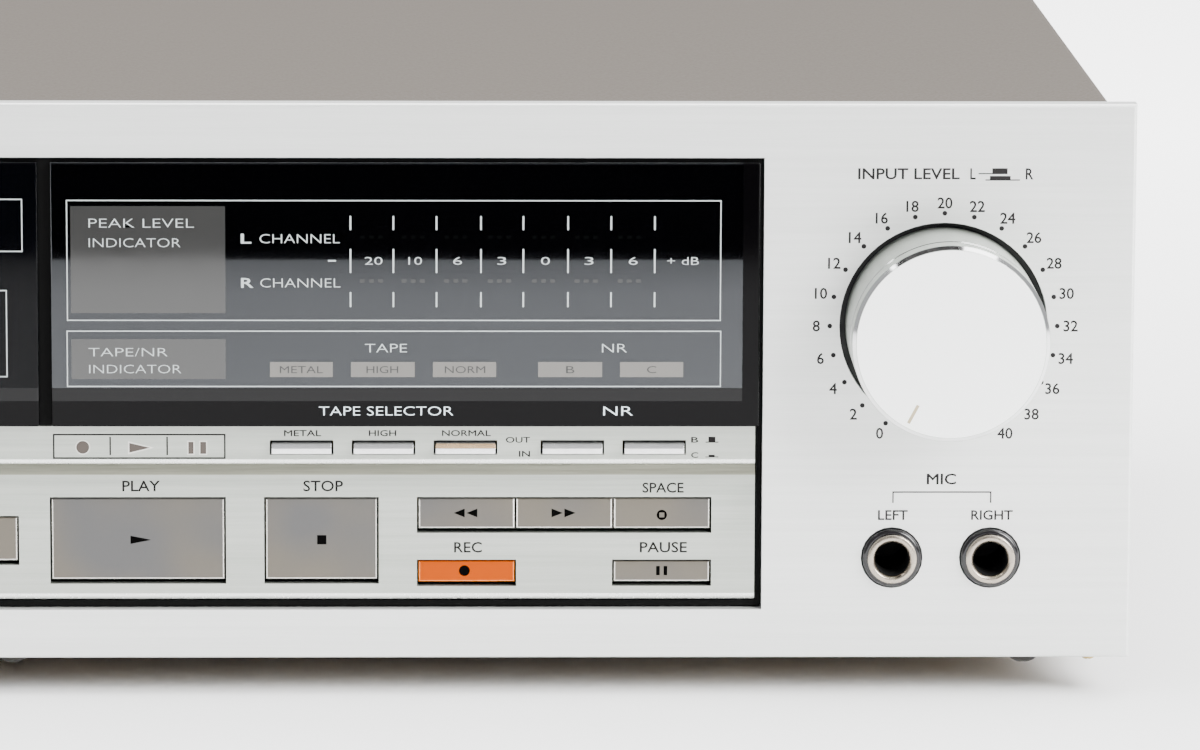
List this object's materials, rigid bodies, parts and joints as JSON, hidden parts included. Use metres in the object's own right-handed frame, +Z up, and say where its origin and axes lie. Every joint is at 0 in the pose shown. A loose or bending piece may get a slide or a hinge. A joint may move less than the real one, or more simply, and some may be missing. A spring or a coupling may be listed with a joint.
{
  "type": "cassette deck",
  "caption": "Full-width front-loading cassette deck with a hinged cassette door, a display window, push keys, selector buttons, a two-part level knob and sockets.",
  "frame": {"origin": "on the table under the middle of the deck's box: middle of its width, middle of its depth from the knob to the terminals, underside of the feet", "axes": "+X to the right as seen from the front, +Y from the front to the back, +Z up"},
  "size_m": [0.435, 0.3032, 0.116],
  "materials": {
    "panel_aluminium": "fine horizontal brushing, clear anodised",
    "strip_aluminium": "fine horizontal brushing, clear anodised",
    "knob_aluminium": "turned and satin anodised",
    "frame_plastic": "fine-grained moulded black",
    "smoked_window": "smoked, polished",
    "circuit_board": "phenolic board with parts",
    "key_satin": "satin, darker than the strip, bright cut edges",
    "record_orange": "satin orange",
    "selector_chrome": "satin plated",
    "dark_plastic": "moulded black",
    "foot_plastic": "moulded black",
    "socket_nickel": "nickel plated",
    "cover_paint": "fine textured grey-brown paint",
    "zinc_steel": "zinc plated sheet",
    "bright_steel": "ground bright",
    "spindle_plastic": "moulded grey-white",
    "turned_brass": "turned",
    "roller_rubber": "ground black rubber"
  },
  "bodies": {
    "root": {"front_panel": "panel_aluminium", "recess_frame": "frame_plastic", "display_window": "smoked_window", "display_board": "circuit_board", "control_strip": "strip_aluminium", "switch_board": "circuit_board", "power_switch": "dark_plastic", "level_control": "zinc_steel", "mic_left_jack": "dark_plastic", "mic_left_nut": "socket_nickel", "mic_right_jack": "dark_plastic", "mic_right_nut": "socket_nickel", "phones_jack": "dark_plastic", "phones_nut": "socket_nickel", "top_cover": "cover_paint", "chassis": "zinc_steel", "rear_panel": "zinc_steel", "line_terminal_block": "dark_plastic", "mains_inlet": "dark_plastic", "foot_front_left": "foot_plastic", "foot_front_right": "foot_plastic", "foot_rear_left": "foot_plastic", "foot_rear_right": "foot_plastic", "power_transformer": "zinc_steel", "main_board": "circuit_board", "door_hinge_rod": "bright_steel", "mechanism_plate": "zinc_steel", "flywheel_bracket": "zinc_steel", "capstan_motor": "zinc_steel", "drive_belt": "roller_rubber", "bridge_solenoid": "zinc_steel"},
    "knob_front": {"level_knob_front": "knob_aluminium", "level_shaft_inner": "bright_steel"},
    "knob_rear": {"level_knob_rear": "knob_aluminium", "level_shaft_outer": "bright_steel"},
    "play": {"play_key": "key_satin"},
    "stop": {"stop_key": "key_satin"},
    "rewind": {"rewind_key": "key_satin"},
    "fast_forward": {"fast_forward_key": "key_satin"},
    "space": {"space_key": "key_satin"},
    "record": {"record_key": "record_orange"},
    "pause": {"pause_key": "key_satin"},
    "eject": {"eject_key": "key_satin"},
    "metal": {"metal_button": "selector_chrome"},
    "high": {"high_button": "selector_chrome"},
    "normal": {"normal_button": "selector_chrome"},
    "nr_switch": {"nr_switch_button": "selector_chrome"},
    "nr_type": {"nr_type_button": "selector_chrome"},
    "power": {"power_button": "knob_aluminium"},
    "door": {"door_window": "smoked_window", "door_carrier": "frame_plastic"},
    "supply": {"supply_spindle": "spindle_plastic"},
    "takeup": {"takeup_spindle": "spindle_plastic"},
    "capstan": {"flywheel": "turned_brass", "capstan_shaft": "bright_steel"},
    "motor": {"motor_pulley": "turned_brass"},
    "bridge": {"head_bridge": "zinc_steel", "record_play_head": "bright_steel"},
    "pinch": {"pinch_arm": "zinc_steel"},
    "roller": {"pinch_roller": "roller_rubber"}
  },
  "joints": [
    {"name": "knob_front_turn", "type": "hinge", "parent": "root", "child": "knob_front", "pos_m": [0.1806, -0.149, 0.07284], "axis": [0, 1, 0], "range_deg": [0, 300]},
    {"name": "knob_rear_turn", "type": "hinge", "parent": "root", "child": "knob_rear", "pos_m": [0.1806, -0.137, 0.07284], "axis": [0, 1, 0], "range_deg": [0, 300]},
    {"name": "play_press", "type": "slide", "parent": "root", "child": "play", "axis": [0, 1, 0], "range_m": [0, 0.0015], "stiffness_N_per_m": 300},
    {"name": "stop_press", "type": "slide", "parent": "root", "child": "stop", "axis": [0, 1, 0], "range_m": [0, 0.0015], "stiffness_N_per_m": 300},
    {"name": "rewind_press", "type": "slide", "parent": "root", "child": "rewind", "axis": [0, 1, 0], "range_m": [0, 0.0015], "stiffness_N_per_m": 300},
    {"name": "fast_forward_press", "type": "slide", "parent": "root", "child": "fast_forward", "axis": [0, 1, 0], "range_m": [0, 0.0015], "stiffness_N_per_m": 300},
    {"name": "space_press", "type": "slide", "parent": "root", "child": "space", "axis": [0, 1, 0], "range_m": [0, 0.0015], "stiffness_N_per_m": 300},
    {"name": "record_press", "type": "slide", "parent": "root", "child": "record", "axis": [0, 1, 0], "range_m": [0, 0.0015], "stiffness_N_per_m": 300},
    {"name": "pause_press", "type": "slide", "parent": "root", "child": "pause", "axis": [0, 1, 0], "range_m": [0, 0.0015], "stiffness_N_per_m": 300},
    {"name": "eject_press", "type": "slide", "parent": "root", "child": "eject", "axis": [0, 1, 0], "range_m": [0, 0.0015], "stiffness_N_per_m": 300},
    {"name": "metal_press", "type": "slide", "parent": "root", "child": "metal", "axis": [0, 1, 0], "range_m": [0, 0.0024], "stiffness_N_per_m": 250},
    {"name": "high_press", "type": "slide", "parent": "root", "child": "high", "axis": [0, 1, 0], "range_m": [0, 0.0024], "stiffness_N_per_m": 250},
    {"name": "normal_press", "type": "slide", "parent": "root", "child": "normal", "axis": [0, 1, 0], "range_m": [0, 0.0024], "stiffness_N_per_m": 250},
    {"name": "nr_switch_press", "type": "slide", "parent": "root", "child": "nr_switch", "axis": [0, 1, 0], "range_m": [0, 0.0024], "stiffness_N_per_m": 250},
    {"name": "nr_type_press", "type": "slide", "parent": "root", "child": "nr_type", "axis": [0, 1, 0], "range_m": [0, 0.0024], "stiffness_N_per_m": 250},
    {"name": "power_press", "type": "slide", "parent": "root", "child": "power", "axis": [0, 1, 0], "range_m": [0, 0.004], "stiffness_N_per_m": 300},
    {"name": "door_hinge", "type": "hinge", "parent": "root", "child": "door", "pos_m": [-0.06945, -0.1194, 0.03], "axis": [1, 0, 0], "range_deg": [0, 20]},
    {"name": "supply_spin", "type": "hinge", "parent": "root", "child": "supply", "pos_m": [-0.0907, -0.1044, 0.072], "axis": [0, 1, 0], "continuous": true},
    {"name": "takeup_spin", "type": "hinge", "parent": "root", "child": "takeup", "pos_m": [-0.0482, -0.1044, 0.072], "axis": [0, 1, 0], "continuous": true},
    {"name": "flywheel_spin", "type": "hinge", "parent": "root", "child": "capstan", "pos_m": [-0.0482, -0.0974, 0.0457], "axis": [0, 1, 0], "continuous": true},
    {"name": "motor_spin", "type": "hinge", "parent": "root", "child": "motor", "pos_m": [-0.11, -0.0974, 0.062], "axis": [0, 1, 0], "continuous": true},
    {"name": "bridge_lift", "type": "slide", "parent": "root", "child": "bridge", "axis": [0, 0, 1], "range_m": [0, 0.0045], "stiffness_N_per_m": 100},
    {"name": "pinch_swing", "type": "hinge", "parent": "root", "child": "pinch", "pos_m": [-0.02995, -0.1084, 0.03315], "axis": [0, 1, 0], "range_deg": [0, 14.4]},
    {"name": "roller_spin", "type": "hinge", "parent": "pinch", "child": "roller", "pos_m": [-0.0482, -0.1132, 0.03315], "axis": [0, 1, 0], "continuous": true}
  ],
  "couplings": [
    {"joint": "motor_spin", "follows": "flywheel_spin", "ratio": 9.1667},
    {"joint": "pinch_swing", "follows": "bridge_lift", "rad_per_m": 55}
  ]
}
